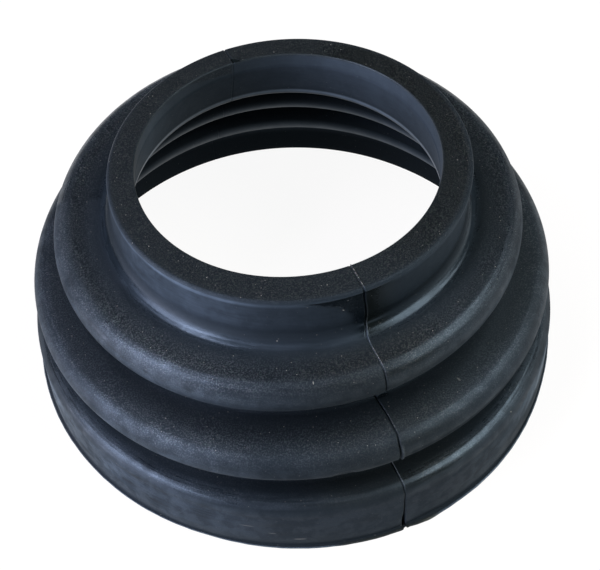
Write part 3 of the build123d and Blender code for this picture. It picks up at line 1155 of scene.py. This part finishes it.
# %% [markdown]
# Relief too fine for the mesh comes from a Bump node: the mould's grain, hair
# scratches and a faint waviness. Their heights are in millimetres.

# %% Fine relief of the rubber
grain_rise, scratch_rise, wave_rise = 0.018, 0.002, 0.006

height = calculate(tree, "MULTIPLY", calculate(tree, "MULTIPLY", grain_fine["Height"], grained), grain_rise)
height = calculate(tree, "ADD", height, calculate(tree, "MULTIPLY", scratched, scratch_rise))
height = calculate(tree, "ADD", height, calculate(tree, "MULTIPLY", cloud_small, wave_rise))
bump = add_node(tree, "ShaderNodeBump", {}, {"Strength": 1.0, "Distance": MM, "Height": height})
tree.links.new(bump.outputs["Normal"], shader.inputs["Normal"])
print("rubber nodes", len(tree.nodes))

# %% [markdown]
# ## Floor
#
# The boot stands on white paper. Lit by the lamps alone, the paper would be grey
# and uneven. So it has a dull surface that takes the boot's shadow, and a glow that
# only the camera and reflections see. The two add up to white.

# %% Floor
floor_reach = 3.0
dull_share = 0.07
glow_share = 1 - dull_share
floor_mesh = quad_mesh("floor", floor_reach * np.array([(-1.0, -1, 0), (1, -1, 0), (1, 1, 0), (-1, 1, 0)]),
                       np.array([(0, 1, 2, 3)]))
floor = add_piece("floor", floor_mesh)


def ray_masks(tree):
    """Two masks of a Light Path: 1 for the camera's own rays, and 1 for rays that
    come by a reflection or through glass."""
    path = tree.nodes.new("ShaderNodeLightPath").outputs
    mirrored = calculate(tree, "MAXIMUM", path["Is Glossy Ray"], path["Is Transmission Ray"])
    return path["Is Camera Ray"], mirrored


paper = bpy.data.materials.new("white_paper")
paper.use_nodes = True
tree = paper.node_tree
tree.nodes.clear()
seen = calculate(tree, "MAXIMUM", *ray_masks(tree))
dull = add_node(tree, "ShaderNodeBsdfDiffuse", {}, {"Color": (dull_share, dull_share, dull_share, 1)})
glow = add_node(tree, "ShaderNodeEmission", {},
                {"Color": (glow_share, glow_share, glow_share, 1), "Strength": seen})
both = add_node(tree, "ShaderNodeAddShader", {}, {0: dull.outputs[0], 1: glow.outputs[0]})
add_node(tree, "ShaderNodeOutputMaterial", {}, {"Surface": both.outputs[0]})
floor_mesh.materials.append(paper)
print("floor", 2 * floor_reach, "m wide")

# %% [markdown]
# ## Lamps
#
# Glossy black things are lit by what they mirror. Large softboxes stand to the left
# and the right and a little behind, so that every roll of the bellows draws a bright
# line along its sides, while its front stays dark. Low strips light the rolls near
# the floor. Each lamp is a rectangle on a circle round the boot, given by the angle
# and height of its direction, by the angles it fills, by its roll, by its
# brightness, in watts per square metre and steradian, and by its colour.

# %% Softboxes
lamp_distance = 0.9
lamp_target = Vector((0, 0, overall_height / 2))
rosy, sunny = (1.11, 1.0, 1.12), (1.07, 1.0, 0.91)
softboxes = [
    ("left_main", -157, 37, 33, 38, 17, 6.7, rosy),
    ("left_high", 182, 61, 45, 9, -34, 9.6, rosy),
    ("left_low", -154, 3.5, 53, 8, 2, 12.0, rosy),
    ("right_main", -8, 40, 30, 12, 13, 3.5, sunny),
    ("right_high", 0, 60, 50, 21, 25, 6.3, sunny),
    ("right_wide", 3, 20, 60, 20, 15, 1.3, sunny),
    ("right_low", 75, 3.5, 27, 8, -6, 1.0, sunny),
]


def softbox(name, azimuth_degrees, elevation, width, height, roll, radiance, colour):
    """A rectangular lamp that faces the boot. Its side is 2 distance tan(half the
    angle it fills), and its power is pi times its area times its radiance."""
    lamp = bpy.data.lights.new(name, "AREA")
    lamp.shape = "RECTANGLE"
    lamp.size = 2 * lamp_distance * math.tan(math.radians(width) / 2)
    lamp.size_y = 2 * lamp_distance * math.tan(math.radians(height) / 2)
    lamp.energy = math.pi * lamp.size * lamp.size_y * radiance
    lamp.color = colour
    around, above, rolled = (math.radians(v) for v in (azimuth_degrees, elevation, roll))
    outwards = Vector((math.cos(around), math.sin(around), 0.0))
    towards = math.cos(above) * outwards + Vector((0.0, 0.0, math.sin(above)))
    level = Vector((-math.sin(around), math.cos(around), 0.0))
    upright = towards.cross(level)
    side = math.cos(rolled) * level + math.sin(rolled) * upright
    turn = Matrix((side, towards.cross(side), towards)).transposed()
    stand = bpy.data.objects.new(name, lamp)
    stand.matrix_world = Matrix.Translation(lamp_target + lamp_distance * towards) @ turn.to_4x4()
    stand.visible_camera = False
    bpy.context.scene.collection.objects.link(stand)


for box in softboxes:
    softbox(*box)
print("softboxes", len(softboxes))

# %% [markdown]
# The world is nearly dark, so that the lamps do the lighting. The camera sees it
# white, where it carries the paper on into the distance. Reflections see it white
# near the horizon, and it fades to dark as they turn upwards.

# %% World
dark = 0.04
white_below, dark_above = 2, 9  # degrees above the horizon
world = bpy.data.worlds.new("studio")
world.use_nodes = True
tree = world.node_tree
rise = add_node(tree, "ShaderNodeSeparateXYZ", {},
                {0: tree.nodes.new("ShaderNodeTexCoord").outputs["Generated"]}).outputs["Z"]
horizon = ramp_of(tree, rise, math.sin(math.radians(dark_above)), math.sin(math.radians(white_below)),
                  dark, 1.0)
by_camera, mirrored = ray_masks(tree)
mirrored = calculate(tree, "MULTIPLY", mirrored, horizon)
brightness = calculate(tree, "MAXIMUM", calculate(tree, "MAXIMUM", by_camera, mirrored), dark)
tree.links.new(brightness, tree.nodes["Background"].inputs["Strength"])
tree.nodes["Background"].inputs["Color"].default_value = (1, 1, 1, 1)
bpy.context.scene.world = world
bpy.context.scene.view_settings.view_transform = "Standard"
print("darkest part of the world", dark)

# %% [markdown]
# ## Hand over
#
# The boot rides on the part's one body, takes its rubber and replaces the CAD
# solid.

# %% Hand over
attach(boot, "root")
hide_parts("bellows_boot")
